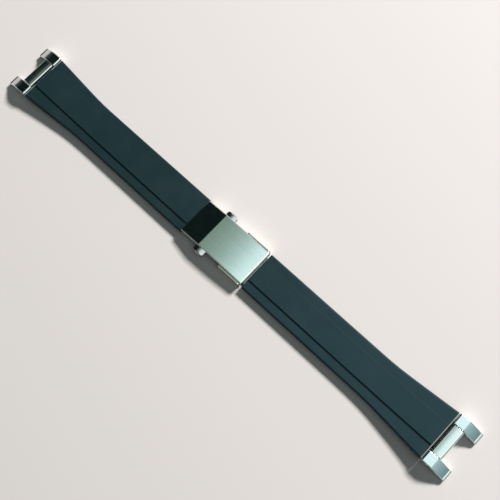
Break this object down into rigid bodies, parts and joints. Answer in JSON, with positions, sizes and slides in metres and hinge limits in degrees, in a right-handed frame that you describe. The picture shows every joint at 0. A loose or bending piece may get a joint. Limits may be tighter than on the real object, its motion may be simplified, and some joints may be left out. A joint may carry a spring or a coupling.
{
  "type": "rubber watch strap with folding clasp",
  "caption": "Rubber dive watch strap with a raised centre band, flared ends, hinged steel end links and a push-button folding clasp.",
  "frame": {"origin": "bottom centre of the strap laid out flat with its clasp closed", "axes": "+X along the strap towards half B, +Y across it, +Z out of its outer side"},
  "size_m": [0.2584, 0.024, 0.0063],
  "materials": {
    "brushed_steel": "lengthwise brushed",
    "spring_wire": "drawn",
    "rubber": "satin matte"
  },
  "bodies": {
    "base": {"base_blade": "brushed_steel", "blade_hinge_pin": "brushed_steel", "strap_bar_b": "brushed_steel", "strap_bar_b_screw": "brushed_steel"},
    "middle": {"middle_blade": "brushed_steel"},
    "cover": {"clasp_cover": "brushed_steel", "cover_hinge_pin": "brushed_steel", "spring_block": "brushed_steel", "button_spring_near": "spring_wire", "button_spring_far": "spring_wire", "strap_bar_a": "brushed_steel", "strap_bar_a_screw": "brushed_steel"},
    "press_near": {"button_near": "brushed_steel", "latch_claw_near": "brushed_steel"},
    "press_far": {"button_far": "brushed_steel", "latch_claw_far": "brushed_steel"},
    "strap_a": {"strap_half_a": "rubber", "end_plate_a": "brushed_steel"},
    "strap_b": {"strap_half_b": "rubber", "end_plate_b": "brushed_steel"},
    "link_a": {"link_block_a_near": "brushed_steel", "link_block_a_far": "brushed_steel", "link_bar_a": "brushed_steel", "link_pin_a": "brushed_steel"},
    "link_b": {"link_block_b_near": "brushed_steel", "link_block_b_far": "brushed_steel", "link_bar_b": "brushed_steel", "link_pin_b": "brushed_steel"}
  },
  "joints": [
    {"name": "blade_fold", "type": "hinge", "parent": "base", "child": "middle", "pos_m": [-0.0131, 0, 0.001], "axis": [0, -1, 0], "range_deg": [0, 135]},
    {"name": "cover_fold", "type": "hinge", "parent": "middle", "child": "cover", "pos_m": [0.0163, 0, 0.00358], "axis": [0, 1, 0], "range_deg": [0, 115]},
    {"name": "button_near_press", "type": "slide", "parent": "cover", "child": "press_near", "axis": [0, 1, 0], "range_m": [0, 0.0008], "stiffness_N_per_m": 200, "springref_m": -0.0005, "deforming": ["button_spring_near"]},
    {"name": "button_far_press", "type": "slide", "parent": "cover", "child": "press_far", "axis": [0, -1, 0], "range_m": [0, 0.0008], "stiffness_N_per_m": 200, "springref_m": -0.0005, "deforming": ["button_spring_far"]},
    {"name": "strap_a_swing", "type": "hinge", "parent": "cover", "child": "strap_a", "pos_m": [-0.0161, 0, 0.0026], "axis": [0, -1, 0], "range_deg": [-8, 20]},
    {"name": "strap_b_swing", "type": "hinge", "parent": "base", "child": "strap_b", "pos_m": [0.0194, 0, 0.00135], "axis": [0, 1, 0], "range_deg": [-3, 25]},
    {"name": "link_a_swing", "type": "hinge", "parent": "strap_a", "child": "link_a", "pos_m": [-0.12005, 0, 0.0032], "axis": [0, -1, 0], "range_deg": [-2, 50]},
    {"name": "link_b_swing", "type": "hinge", "parent": "strap_b", "child": "link_b", "pos_m": [0.12005, 0, 0.0032], "axis": [0, 1, 0], "range_deg": [-2, 50]}
  ]
}
